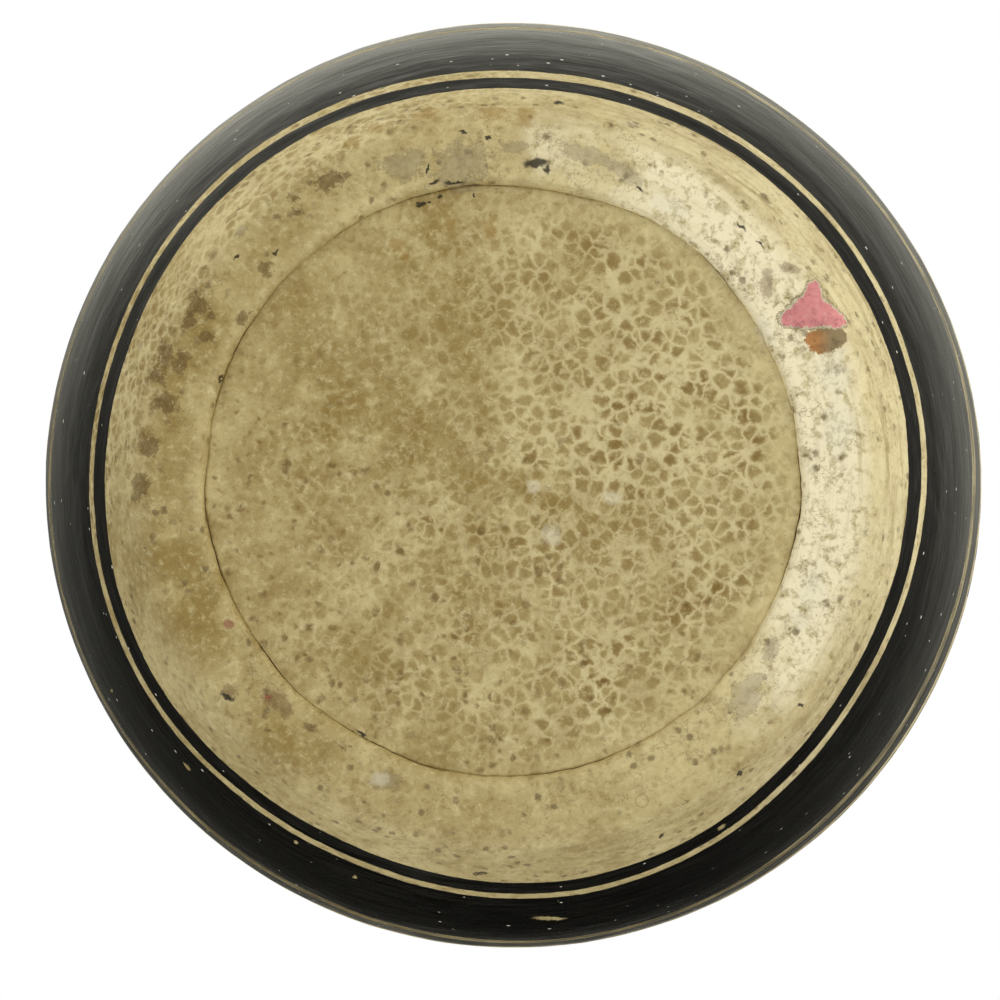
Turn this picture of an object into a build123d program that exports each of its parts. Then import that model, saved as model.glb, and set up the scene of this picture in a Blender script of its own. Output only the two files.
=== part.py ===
"""Alabastron: a footed, pear-shaped oil jar of fired clay, cream slip with black gloss bands.

Millimetres, +Z up. The origin is the centre of the standing ring, on the ground.
The jar was built from thrown and hand-formed sections that were joined with slip
while leather hard. Each section is its own solid, and each gloss band is the thin
fired layer that lies on the wall.
"""
import os
from math import asin, degrees, sqrt

from build123d import *

# Body: a low belly that draws in to a narrow neck
belly_radius = 55.0
belly_level = 60.0
body_height = 180.0
neck_hollow = 14.0
wall = 5.5

# Foot: a flat standing ring round a shallow recess
foot_radius = 38.5
foot_rounding = 4.0
ring_width = 4.9
ring_edge_rounding = 1.0
recess_depth = 1.2

# Floor disc: set in from inside, its flange on a ledge of the foot
floor_thickness = 6.0
flange_thickness = 3.0

# Seams: what is left between two sections for the slip that joins them
luting_gap = 0.15
lap_height = 6.0

# Neck and mouth
bore_radius = 7.0
neck_wall = 6.0
neck_length = 12.0
spigot_depth = 9.0
plate_radius = 27.5
plate_thickness = 8.0
plate_undercut = 1.5
plate_rounding = 2.0
plate_dish = 1.0
plate_rim_width = 6.0
lip_rounding = 1.2
socket_depth = 2.5

# Strap handle, from the mouth plate down to the shoulder, on the +Y side
handle_width = 12.0
handle_root_width = 15.6
handle_thickness = 5.5
handle_edge_rounding = 1.8
handle_inset = 3.6
handle_drop = 24.0
handle_bulge = 3.0
handle_bite = 3.5

# Gloss bands: thin layers that stand off the wall by less than their own thickness
coat_thickness = 0.2
coat_gap = 0.12

# Where the bands lie, from the ground up: the bare height below each, then its own
foot_line_level = 8.1
foot_line_height = 3.6
lower_band_spacing = 1.6
lower_band_height = 20.8
belly_band_spacing = 2.8
belly_band_height = 6.0
shoulder_band_level = 118.0
shoulder_band_height = 8.0

# The wall is three arcs that run into each other, seen in the half plane of radius and height
neck_radius = bore_radius + neck_wall
belly_overhang = belly_radius - foot_radius
low_arc = (belly_overhang ** 2 + belly_level ** 2) / (2 * belly_overhang)
low_centre = belly_radius - low_arc
belly_rise = body_height - belly_level
shoulder_fall = belly_radius - neck_radius
high_arc = (shoulder_fall ** 2 + belly_rise ** 2) / (2 * shoulder_fall) - neck_hollow
high_centre = belly_radius - high_arc
hollow_centre = neck_radius + neck_hollow
hollow_turn = degrees(asin(belly_rise / (high_arc + neck_hollow)))

# The rounding under the wall ends on the flat of the standing ring
foot_turn = degrees(asin((belly_level - foot_rounding) / (low_arc - foot_rounding)))
ring_radius = low_centre + sqrt(
    (low_arc - foot_rounding) ** 2 - (belly_level - foot_rounding) ** 2
)

# Levels and radii that the sections share
floor_radius = ring_radius - ring_width
floor_top = recess_depth + floor_thickness
ledge_level = floor_top - flange_thickness
seat_radius = low_centre + sqrt((low_arc - wall) ** 2 - (belly_level - floor_top) ** 2)
lap_radius = belly_radius - wall / 2
spigot_radius = bore_radius + neck_wall / 2
plate_level = body_height + neck_length
mouth_level = plate_level + plate_thickness


def turned(*edges):
    """A solid turned round Z from edges drawn as radius and height."""
    return revolve(Plane.XZ * make_face(edges), axis=Axis.Z)


def ring(radius, bottom, top, hole=0.0):
    """A plain cylinder on the axis, or a ring where it has a hole."""
    outer = Pos(0, 0, bottom) * Cylinder(
        radius, top - bottom, align=(Align.CENTER, Align.CENTER, Align.MIN)
    )
    if hole > 0:
        outer -= ring(hole, bottom, top)
    return outer


def upper_arcs(inset):
    """The wall above its widest level, moved inwards by inset."""
    return [
        CenterArc((high_centre, belly_level), high_arc - inset, 0, hollow_turn),
        CenterArc((hollow_centre, body_height), neck_hollow + inset, 180 + hollow_turn, -hollow_turn),
    ]


def outer_body():
    """The body as if it were solid clay."""
    return turned(
        Line((0, 0), (ring_radius, 0)),
        CenterArc((ring_radius, foot_rounding), foot_rounding, -90, 90 - foot_turn),
        CenterArc((low_centre, belly_level), low_arc, -foot_turn, foot_turn),
        *upper_arcs(0),
        Line((neck_radius, body_height), (0, body_height)),
        Line((0, body_height), (0, 0)),
    )


def cavity():
    """The hollow of the body, one wall in from the outside, down to the floor."""
    turn = degrees(asin((belly_level - floor_top) / (low_arc - wall)))
    throat = neck_radius - wall
    return turned(
        Line((0, floor_top), (seat_radius, floor_top)),
        CenterArc((low_centre, belly_level), low_arc - wall, -turn, turn),
        *upper_arcs(wall),
        Line((throat, body_height), (0, body_height)),
        Line((0, body_height), (0, floor_top)),
    )


def wall_radius(level):
    """Radius of the outer wall at a level of the upper body's long arc."""
    return high_centre + sqrt(high_arc ** 2 - (level - belly_level) ** 2)


def gloss_coat(bottom, top):
    """A thin fired layer on the wall between two levels, its edges square to the wall."""
    below = top <= belly_level
    centre, arc = (low_centre, low_arc) if below else (high_centre, high_arc)
    start = degrees(asin((bottom - belly_level) / arc))
    turn = degrees(asin((top - belly_level) / arc)) - start
    inner = CenterArc((centre, belly_level), arc + coat_gap, start, turn)
    outer = CenterArc((centre, belly_level), arc + coat_gap + coat_thickness, start, turn)
    return turned(inner, Line(inner @ 1, outer @ 1), outer, Line(outer @ 0, inner @ 0))


def mouth_plate():
    """A flat, slightly dished disc with a rounded edge and a socket for the neck."""
    socket_radius = neck_radius + luting_gap
    socket_top = plate_level + socket_depth
    lip = Vector(bore_radius, mouth_level - plate_dish)
    dish_edge = Vector(plate_radius - plate_rim_width, mouth_level)
    rim_top = Vector(plate_radius, mouth_level)
    rim_bottom = Vector(plate_radius, plate_level + plate_undercut)
    section = make_face(Polyline(
        (bore_radius, socket_top),
        (socket_radius, socket_top),
        (socket_radius, plate_level),
        rim_bottom,
        rim_top,
        dish_edge,
        lip,
        close=True,
    ))
    for corner in (rim_bottom, rim_top):
        section = fillet(section.vertices().sort_by_distance(corner)[0], plate_rounding)
    section = fillet(section.vertices().sort_by_distance(lip)[0], lip_rounding)
    return revolve(Plane.XZ * section, axis=Axis.Z)


def strap_handle(body, plate):
    """A flat strap, wider where it is pressed onto the plate and the shoulder."""
    foot_level = body_height - handle_drop
    top = Vector(0, plate_radius - handle_inset, plate_level + handle_bite)
    bottom = Vector(0, wall_radius(foot_level) - handle_bite, foot_level)
    chord = bottom - top
    outwards = Vector(0, -chord.Z, chord.Y).normalized()
    spine = ThreePointArc(top, (top + bottom) / 2 + outwards * handle_bulge, bottom)
    sections = []
    for place, width in ((0, handle_root_width), (0.5, handle_width), (1, handle_root_width)):
        plane = Plane(spine @ place, x_dir=(1, 0, 0), z_dir=spine % place)
        sections.append(plane * RectangleRounded(width, handle_thickness, handle_edge_rounding))
    return sweep(sections, path=spine, multisection=True) - body - plate


# The sections, each cut from the same outside and hollow
solid_body = outer_body()
shell = solid_body - cavity() - ring(bore_radius, belly_level, body_height)
lap = ring(lap_radius - luting_gap, belly_level, belly_level + lap_height - luting_gap)

floor_disc = ring(floor_radius - luting_gap, recess_depth, floor_top)
floor_disc += ring(seat_radius - luting_gap, ledge_level, floor_top)

lower_body = shell & (ring(2 * belly_radius, 0, belly_level) + lap)
lower_body -= ring(floor_radius, 0, floor_top) + ring(seat_radius, ledge_level, floor_top)
ring_edge = lower_body.edges().filter_by(GeomType.CIRCLE).group_by(Axis.Z)[0].sort_by(SortBy.RADIUS)[0]
lower_body = fillet(ring_edge, ring_edge_rounding)

upper_body = shell & ring(2 * belly_radius, belly_level, body_height)
upper_body -= ring(lap_radius, belly_level, belly_level + lap_height)
upper_body -= ring(spigot_radius + luting_gap, body_height - spigot_depth, body_height)

neck = ring(neck_radius, body_height, plate_level + socket_depth, bore_radius)
neck += ring(spigot_radius, body_height - spigot_depth, body_height, bore_radius)

plate = mouth_plate()

nodes = {
    "floor_disc": floor_disc,
    "lower_body": lower_body,
    "upper_body": upper_body,
    "neck": neck,
    "mouth_plate": plate,
    "handle": strap_handle(solid_body, plate),
}

# The gloss bands follow each other up the wall
foot_line_top = foot_line_level + foot_line_height
lower_band_bottom = foot_line_top + lower_band_spacing
lower_band_top = lower_band_bottom + lower_band_height
belly_band_bottom = lower_band_top + belly_band_spacing
bands = {
    "foot_line_coat": (foot_line_level, foot_line_top),
    "lower_band_coat": (lower_band_bottom, lower_band_top),
    "belly_band_coat": (belly_band_bottom, belly_band_bottom + belly_band_height),
    "shoulder_band_coat": (shoulder_band_level, shoulder_band_level + shoulder_band_height),
}
for name, (bottom, top) in bands.items():
    nodes[name] = gloss_coat(bottom, top)

os.makedirs("parts", exist_ok=True)
for name, solid in nodes.items():
    solid.label = name
    export_step(solid, f"parts/{name}.step")
    print(f"{name}: {len(solid.solids())} solid, {solid.volume / 1000:.2f} cm3")
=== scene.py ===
# %% [markdown]
# # A clay alabastron, seen from below
# An alabastron is a small-mouthed oil jar. This one was thrown in fired clay, covered with a
# cream slip and painted with black gloss. The frame below is the measured model of the jar:
# every piece made here goes over one of its pieces, in metres, with nothing fitted by eye.

from math import asin, atan2, ceil, cos, degrees, exp, hypot, pi, radians, sin, sqrt

import bmesh
import bpy
from mathutils import Matrix, Vector, kdtree, noise


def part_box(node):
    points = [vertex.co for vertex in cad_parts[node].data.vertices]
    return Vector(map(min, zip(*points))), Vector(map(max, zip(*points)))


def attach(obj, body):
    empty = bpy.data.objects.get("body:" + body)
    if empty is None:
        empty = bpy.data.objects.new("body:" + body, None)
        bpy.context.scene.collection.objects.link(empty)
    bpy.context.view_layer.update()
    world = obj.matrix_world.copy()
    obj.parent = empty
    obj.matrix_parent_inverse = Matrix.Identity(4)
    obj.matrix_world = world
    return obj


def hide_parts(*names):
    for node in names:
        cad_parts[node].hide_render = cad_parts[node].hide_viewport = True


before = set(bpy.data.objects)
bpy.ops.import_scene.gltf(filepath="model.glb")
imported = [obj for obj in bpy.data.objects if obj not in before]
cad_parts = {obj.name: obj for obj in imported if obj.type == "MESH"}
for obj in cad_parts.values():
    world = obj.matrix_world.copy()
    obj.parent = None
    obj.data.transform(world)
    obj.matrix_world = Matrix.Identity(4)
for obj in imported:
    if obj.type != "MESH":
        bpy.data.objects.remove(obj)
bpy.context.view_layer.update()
MM = 0.001

# %% [markdown]
# ## The jar's curve
# A thrown jar is one curve turned round its axis. Here it is four arcs that run into each
# other: a small rounding off the foot, the low belly, the long shoulder and the hollow under
# the neck. Arcs keep the curve as smooth as the potter's rib did, where hand-placed points
# would leave flats. Sizes are read from the frame where it has them.

# %% Measure the frame
belly_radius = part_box("lower_body")[1].x / MM
belly_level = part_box("upper_body")[0].z / MM
body_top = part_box("upper_body")[1].z / MM
neck_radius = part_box("neck")[1].x / MM
spigot_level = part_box("neck")[0].z / MM
lap_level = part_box("lower_body")[1].z / MM
floor_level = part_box("floor_disc")[0].z / MM
floor_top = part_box("floor_disc")[1].z / MM
flange_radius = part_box("floor_disc")[1].x / MM
plate_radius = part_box("mouth_plate")[1].x / MM
plate_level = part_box("mouth_plate")[0].z / MM
mouth_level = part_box("mouth_plate")[1].z / MM

# %% Work out the arcs
foot_radius = 38.5
foot_rounding = 4.0
neck_hollow = 14.0
wall = 5.5
overhang = belly_radius - foot_radius
fall = belly_radius - neck_radius
rise = body_top - belly_level
low_arc = (overhang ** 2 + belly_level ** 2) / (2 * overhang)
low_centre = belly_radius - low_arc
high_arc = (fall ** 2 + rise ** 2) / (2 * fall) - neck_hollow
high_centre = belly_radius - high_arc
hollow_centre = neck_radius + neck_hollow
hollow_turn = degrees(asin(rise / (high_arc + neck_hollow)))
foot_turn = degrees(asin((belly_level - foot_rounding) / (low_arc - foot_rounding)))
ring_radius = low_centre + (low_arc - foot_rounding) * cos(radians(foot_turn))


def arc(centre, radius, start, end, pitch):
    """Points of an arc in radius and height, in millimetres, angles in degrees."""
    count = max(2, ceil(abs(radians(end - start)) * radius / pitch))
    turns = [radians(start + (end - start) * i / count) for i in range(count + 1)]
    return [(centre[0] + radius * cos(t), centre[1] + radius * sin(t)) for t in turns]


def straight(start, end, pitch):
    """Points of a straight stretch."""
    start, end = Vector(start), Vector(end)
    count = max(1, ceil((end - start).length / pitch))
    return [tuple(start.lerp(end, i / count)) for i in range(count + 1)]


def joined(*stretches):
    """One path out of several, without the points that two stretches share."""
    path = []
    for point in (p for stretch in stretches for p in stretch):
        if not path or hypot(point[0] - path[-1][0], point[1] - path[-1][1]) > 1e-4:
            path.append(point)
    return path


def wall_radius(level):
    """Radius of the outer wall at a level below the hollow of the neck."""
    if level < belly_level:
        return low_centre + sqrt(low_arc ** 2 - (belly_level - level) ** 2)
    return high_centre + sqrt(high_arc ** 2 - (level - belly_level) ** 2)


print("standing ring radius", round(ring_radius, 1), "mm")

# %% [markdown]
# ## The camera
# The photograph looks almost straight up at the foot. The rings of the foot and the outline
# have slightly different centres in it, and that small shift tells where the camera stood.
# The camera is made first, because the marks on the clay are placed by where the photograph
# shows them.

# %% Place the camera
camera_place = Vector((9.56, 5.79, -440.0))
aim = Vector((-0.38, 2.14, 0.0))
lens = 151.4
sensor = 36.0
picture = 1000

camera = bpy.data.objects.new("camera", bpy.data.cameras.new("camera"))
camera.data.lens = lens
camera.data.sensor_width = sensor
camera.data.clip_start = 0.01
back = (camera_place - aim).normalized()
right = (Vector((1, 0, 0)) - back * back.x).normalized()
up = back.cross(right)
turn_matrix = Matrix((right, up, back)).transposed().to_4x4()
camera.matrix_world = Matrix.Translation(camera_place * MM) @ turn_matrix
bpy.context.collection.objects.link(camera)
bpy.context.scene.camera = camera
pixel = -camera_place.z * sensor / (lens * picture)


def seen_at(column, row):
    """The point of the foot or lower wall, in millimetres, that a pixel of the photograph shows."""
    ray = right * (column - picture / 2) + up * (picture / 2 - row) - back * (picture * lens / sensor)
    level = 0.0
    for _ in range(40):
        point = camera_place + ray * ((level - camera_place.z) / ray.z)
        reach = hypot(point.x, point.y)
        if reach < ring_radius:
            return point
        low = belly_level - sqrt(max(0.0, low_arc ** 2 - (reach - low_centre) ** 2))
        level = 0.5 * level + 0.5 * max(0.0, low)
    return point


print("one pixel is", round(pixel, 3), "mm on the foot")

# %% [markdown]
# ## Studio
# A pale floor that the jar stands on, a white surround and a few large soft lamps. The camera
# of the photograph is under the floor, so the floor shows only from above, and it only takes
# part in what the camera sees: light reaches the foot as it did when the jar was held up.

# %% Colours and nodes
def srgb(code):
    """A hex colour as it is seen, turned to the linear values that shaders use."""
    parts = [int(code[i:i + 2], 16) / 255 for i in (1, 3, 5)]
    return [v / 12.92 if v <= 0.04045 else ((v + 0.055) / 1.055) ** 2.4 for v in parts] + [1.0]


def adder(tree):
    """Gives the function that adds nodes to one tree."""
    def add(kind, inputs=(), result=0, **settings):
        """Adds a node, sets its properties, fills its inputs and gives back one output."""
        node = tree.nodes.new("ShaderNode" + kind)
        for name, value in settings.items():
            setattr(node, name, value)
        by_name = {socket.identifier: socket for socket in node.inputs}
        pairs = inputs.items() if isinstance(inputs, dict) else enumerate(inputs)
        for key, value in pairs:
            socket = node.inputs[key] if isinstance(key, int) else by_name[key]
            if isinstance(value, bpy.types.NodeSocket):
                tree.links.new(value, socket)
            elif value is not None:
                socket.default_value = value
        if isinstance(result, str):
            return next(socket for socket in node.outputs if socket.identifier == result)
        return node.outputs[result] if node.outputs else None
    return add


# %% [markdown]
# The surround is three things in one. To the camera it is plain white. To matt surfaces it is
# an even soft light. To glossy surfaces it is the studio as the black gloss mirrors it: bright
# above the top of the picture and dark below it, with two darker curtains in between, which
# is what makes the band go from grey to black in the photograph.

# %% Surround
world = bpy.data.worlds.new("studio")
bpy.context.scene.world = world
world.use_nodes = True
world.node_tree.nodes.clear()
add = adder(world.node_tree)
is_camera, is_glossy, is_transmission = (
    add("LightPath", result=name) for name in ("Is Camera Ray", "Is Glossy Ray", "Is Transmission Ray"))
direction = add("TexCoord", result="Generated")
height = add("SeparateXYZ", [direction], result=2)

side_light = (-0.07, 0.10, 0.0)
ambient = 0.73
matt_level = add("VectorMath", [direction, side_light], operation="DOT_PRODUCT", result="Value")
matt_level = add("Math", [matt_level, ambient], operation="ADD")

flat = add("VectorMath", [direction, (1.0, 1.0, 0.0)], operation="MULTIPLY")
bearing = add("VectorMath", [flat], operation="NORMALIZE")
overhead = add("MapRange", [height, 0.72, 0.95, 0.20, 1.3])
for toward, start, end, low, high in (((0.0, 1.0, 0.0), 1.1, -1.1, 0.0, 0.72), ((-0.97, 0.25, 0.0), 0.5, 1.0, 1.0, 0.5),
                                      ((0.75, -0.66, 0.0), 0.75, 1.0, 1.0, 0.75)):
    facing = add("VectorMath", [bearing, toward], operation="DOT_PRODUCT", result="Value")
    curtain = add("MapRange", [facing, start, end, low, high], interpolation_type="SMOOTHSTEP")
    overhead = add("Math", [overhead, curtain], operation="MULTIPLY")
zenith = add("MapRange", [height, 0.935, 0.985, 0.0, 0.5], interpolation_type="SMOOTHSTEP")
overhead = add("Math", [overhead, zenith], operation="MAXIMUM")
walls = add("MapRange", [height, -0.6, 0.5, 0.20, 0.38])
ahead, aside = (add("SeparateXYZ", [bearing], result=i) for i in (0, 1))
third = add("Math", [add("Math", [aside, ahead], operation="ARCTAN2"), 3.0, 0.9], operation="MULTIPLY_ADD")
panel = add("MapRange", [add("Math", [third], operation="COSINE"), 0.70, 0.95], interpolation_type="SMOOTHSTEP")
for edge, clear in ((0.36, 0.24), (-0.30, -0.18)):
    within = add("MapRange", [height, edge, clear], interpolation_type="SMOOTHSTEP")
    panel = add("Math", [panel, within], operation="MULTIPLY")
walls = add("Math", [panel, 2.6, walls], operation="MULTIPLY_ADD")
is_overhead = add("MapRange", [height, 0.45, 0.62], interpolation_type="SMOOTHSTEP")
glossy_level = add("Mix", {"Factor_Float": is_overhead, "A_Float": walls, "B_Float": overhead}, "Result_Float",
                   data_type="FLOAT")
seen_through = add("Math", [is_camera, is_transmission], operation="MAXIMUM")
level = add("Mix", {"Factor_Float": is_glossy, "A_Float": matt_level, "B_Float": glossy_level},
            "Result_Float", data_type="FLOAT")
level = add("Mix", {"Factor_Float": seen_through, "A_Float": level, "B_Float": 1.0}, "Result_Float",
            data_type="FLOAT")
tint = add("Mix", {"Factor_Float": is_glossy, "A_Color": srgb("#FFFFFF"), "B_Color": srgb("#FFFDEC")},
           "Result_Color", data_type="RGBA")
surround = add("Background", {"Color": tint, "Strength": level})
add("OutputWorld", [surround])

# %% Lamps
lamps = {
    "key": ((-420, -700, 620), 600, 6.0),
    "fill": ((750, -150, 350), 500, 2.4),
    "foot_right": ((520, -260, -420), 420, 1.1),
    "foot_top": ((60, -620, -480), 500, 0.7),
}
for name, (place, width, power) in lamps.items():
    data = bpy.data.lights.new(name, "AREA")
    data.shape = "DISK"
    data.size = width * MM
    data.energy = power
    lamp = bpy.data.objects.new(name, data)
    lamp.visible_glossy = False
    facing = (Vector(place) - Vector((0, 0, belly_level))).to_track_quat("Z", "Y").to_matrix().to_4x4()
    lamp.matrix_world = Matrix.Translation(Vector(place) * MM) @ facing
    bpy.context.collection.objects.link(lamp)

# %% Floor
bm = bmesh.new()
bmesh.ops.create_grid(bm, x_segments=1, y_segments=1, size=3.0)
bmesh.ops.translate(bm, verts=bm.verts, vec=(0, 0, -0.02 * MM))
floor_mesh = bpy.data.meshes.new("studio_floor")
bm.to_mesh(floor_mesh)
bm.free()
studio_floor = bpy.data.objects.new("studio_floor", floor_mesh)
bpy.context.collection.objects.link(studio_floor)

paper = bpy.data.materials.new("pale_paper_floor")
paper.use_nodes = True
paper.node_tree.nodes.clear()
add = adder(paper.node_tree)
from_above = add("Math", [1.0, add("NewGeometry", result="Backfacing")], operation="SUBTRACT")
seen = add("Math", [from_above, add("LightPath", result="Is Camera Ray")], operation="MULTIPLY")
matt = add("BsdfDiffuse", {"Color": srgb("#EFEDE8")})
clear = add("BsdfTransparent")
add("OutputMaterial", [add("MixShader", [seen, clear, matt])])
floor_mesh.materials.append(paper)

# %% [markdown]
# ## Marks of use
# The foot is the part of a jar that is rubbed, knocked and stained. Its marks were found one
# by one in the photograph: pixel column and row, half width and half height in pixels, and a
# tilt in degrees. Soft marks are written to the vertices of the piece they lie on, one
# attribute a kind, and the finish roughens their edges. Pits finer than the mesh are drawn by
# the finish itself. The pale chalk marks on the right of the ring are chalky slip and painted
# highlight together.

# %% Name the marks
brown_wash = {
    "round spot": (207, 337, 6, 6, 0), "left cluster high": (199, 303, 9, 11, 20),
    "left cluster mid": (188, 321, 8, 10, 0), "left blotch": (163, 354, 9, 14, 10),
    "left blotch low": (156, 377, 9, 8, 0), "left smear": (181, 362, 7, 11, 0),
    "left fleck": (212, 316, 4, 4, 0), "left inner fleck": (242, 318, 5, 8, 20),
    "left tail": (166, 404, 11, 9, 0), "left tail low": (150, 446, 9, 12, 0), "left foot": (141, 486, 8, 12, 0),
    "high left cluster": (331, 180, 14, 9, -25), "high left spot": (294, 199, 5, 4, 0),
    "high left spot low": (296, 212, 4, 4, 0), "high left drift": (266, 268, 6, 8, 0),
    "ring spot": (293, 337, 4, 4, 0), "right olive spot": (765, 197, 6, 3, 40),
    "right olive drop": (704, 154, 3, 6, 10), "crack knot": (310, 727, 6, 4, 20),
    "low olive": (348, 748, 6, 3, 0), "low dot": (357, 822, 4, 2, 0), "low speck": (268, 730, 3, 2, 20),
    "wall dot right": (857, 648, 3, 4, 0), "low right dot": (686, 804, 4, 3, 0),
    "top inner spot": (515, 212, 4, 3, 0), "top inner spot right": (558, 214, 4, 3, 0),
}
ochre_streaks = {
    "top left streak": (492, 112, 11, 8, 0), "top right streak": (524, 115, 9, 11, 0),
    "top far left": (426, 113, 13, 5, -12), "top end": (378, 127, 10, 6, -20), "top spot": (352, 141, 8, 5, -20),
    "inner smear": (450, 224, 6, 9, 0), "inner smear right": (491, 229, 6, 10, 0),
    "inner left": (396, 242, 8, 5, 20), "inner left low": (404, 257, 5, 6, 0), "inner tick": (418, 236, 5, 3, -30),
}
grey_wear = {
    "worn patch left": (404, 164, 17, 12, -10), "worn patch mid": (462, 165, 22, 18, -20),
    "worn patch small": (514, 147, 10, 5, 0), "worn trail": (588, 156, 22, 7, 18),
    "worn trail low": (627, 174, 15, 6, 38), "chipped left": (241, 231, 8, 4, -45),
    "rough low right": (747, 694, 12, 20, 35), "rough right": (770, 650, 6, 12, 15),
    "grey spot left": (140, 346, 3, 4, 0), "halo of white spot": (387, 781, 12, 8, 0),
}
dark_pits = {
    "black fleck": (535, 163, 13, 5, -8), "black fleck tail": (547, 170, 3, 6, 0), "line fleck": (558, 102, 6, 2, 5),
    "rim tick left": (464, 132, 5, 2, 0), "rim tick right": (488, 138, 3, 2, 0), "trail one": (421, 203, 5, 2, -15),
    "trail two": (430, 202, 2, 1.6, 0), "trail three": (439, 196, 3, 2, -30), "trail four": (434, 183, 6, 2, -25),
    "lone dot": (473, 195, 1.6, 1.6, 0), "dark dot": (275, 253, 2.4, 2.4, 0), "tick left": (236, 258, 4, 1.4, -45),
    "tick low left": (220, 379, 1.4, 4, 25), "worn end": (640, 189, 5, 1.6, 35), "worm": (741, 227, 6, 1.6, 35),
    "worm tail": (760, 244, 6, 1.2, 50), "dash low": (480, 874, 8, 1.6, 0), "dot right": (801, 706, 2.2, 2.2, 0),
    "dot low right": (739, 774, 2.4, 2.4, 0), "tick low right": (662, 836, 1.6, 4, 15), "vertical tick": (427, 169, 1.4, 6, 15),
    "knot on crack": (361, 734, 5, 1.4, 20), "smudge left": (227, 697, 8, 3.5, 25), "line under wear": (455, 182, 12, 0.9, -4),
}
brown_rough = {
    "smudge patch": (275, 700, 13, 9, 30), "smudge patch low": (287, 709, 6, 8, 0), "smudge left": (229, 692, 8, 6, 20),
    "speckles by chip": (768, 284, 6, 14, 0), "speckles above chip": (790, 268, 10, 5, 20),
}
red_flecks = {
    "red dot": (229, 624, 6, 5, 0), "red tick": (694, 603, 4, 3, 30), "faint red": (268, 697, 4, 3, 0),
}
# The pale marks named chalk, on the right of the ring, are chalky slip and a painted highlight where the ring faces the
# light. The other pale spots are the slip's own.
white_spots_and_highlights = {
    "white spot": (380, 778, 8, 6, 10), "pale disc spot": (551, 535, 9, 9, 0), "pale disc spot high": (533, 487, 6, 7, 0),
    "pale disc spot right": (612, 497, 8, 6, 0), "chalk right high": (835, 372, 14, 22, 0),
    "chalk right": (838, 430, 14, 26, 0), "chalk low right": (812, 590, 12, 22, 10),
    "chalk corner": (800, 620, 9, 10, 0), "chalk inner right": (765, 330, 8, 14, -20), "top chalk": (668, 205, 18, 9, 25),
}
pink_chip = {
    "chip top": (813, 297, 9, 17, 8), "chip left": (798, 317, 18, 10, -8), "chip middle": (811, 312, 22, 16, 0),
    "chip right": (832, 318, 15, 9, 14),
}
brown_chip = {"undercoat left": (822, 341, 16, 13, 10), "undercoat right": (836, 337, 12, 11, -10)}
air_rings = {
    "disc bubble": (473, 408, 5, 4, 0), "spot ring": (251, 644, 3, 3, 0), "low ring": (268, 757, 4, 4, 0),
    "pale ring": (642, 801, 7, 7, 0),
}
cream_chips = {
    "long fleck": (549, 920, 17, 2.5, 3), "line chip right": (722, 828, 5, 2, -40), "speck low left": (186, 767, 6, 2, 50),
    "speck lower left": (295, 843, 2.4, 2.4, 0), "speck bottom": (354, 878, 2.6, 2.2, 0), "speck left": (111, 691, 2, 2, 0),
}
soft_marks = {"brown_wash": brown_wash, "ochre_streaks": ochre_streaks, "grey_wear": grey_wear,
              "brown_rough": brown_rough, "white_spots_and_highlights": white_spots_and_highlights, "red_flecks": red_flecks,
              "pink_chip": pink_chip, "brown_chip": brown_chip, "air_rings": air_rings}
print(sum(len(marks) for marks in soft_marks.values()) + len(dark_pits), "marks")

# %% [markdown]
# ## The clay under the hand
# A thrown jar is never quite true. It is a little narrower one way than the other, its wall
# carries the ridges of the potter's fingers, and the slip on it lies in low lumps. Moving the
# vertices themselves along their normals makes this real shape, so it also shows at the
# outline, where bump in a material would not.

# %% Hand-made unevenness
squash = 0.988
squash_end = 175.0
floor_edge = ring_radius - 4.9
chip_depth = 0.22
chip_places = [(seen_at(*mark[:2]), mark[2] * pixel) for mark in (*pink_chip.values(), *brown_chip.values())]
chalk_centre = seen_at(838, 470)


def ease(value, low, high):
    """0 below low, 1 above high, smooth between."""
    t = min(1.0, max(0.0, (value - low) / (high - low)))
    return t * t * (3 - 2 * t)


def edge_wander(bearing):
    """How far the round edge of the floor disc wanders from a true circle, in millimetres."""
    return 0.5 * noise.noise(bearing * 1.7) + 0.2 * noise.noise(bearing * 6.0) + 0.08 * noise.noise(bearing * 21.0)


def lumps(spot):
    """Low lumps of brushed slip, in millimetres out of the surface, higher where it is chalky."""
    coarse = noise.noise(spot / 9.0 + Vector((3, 7, 1)))
    middle = noise.noise(spot / 3.2 + Vector((11, 2, 5)))
    fine = noise.noise(spot / 1.1 + Vector((5, 5, 9)))
    chalky = 1 - ease((spot - chalk_centre).length, 8.0, 22.0)
    return 0.05 * coarse + (0.035 + 0.05 * chalky) * middle + (0.018 + 0.035 * chalky) * fine


def ridges(spot):
    """The potter's finger ridges, which climb the wall slowly."""
    climb = spot.z + 1.2 * atan2(spot.y, spot.x) / pi
    return 0.04 * noise.noise(Vector((0, 3.3, climb / 2.6))) + 0.08 * noise.noise(Vector((0, 1.7, climb / 9.0)))


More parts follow.
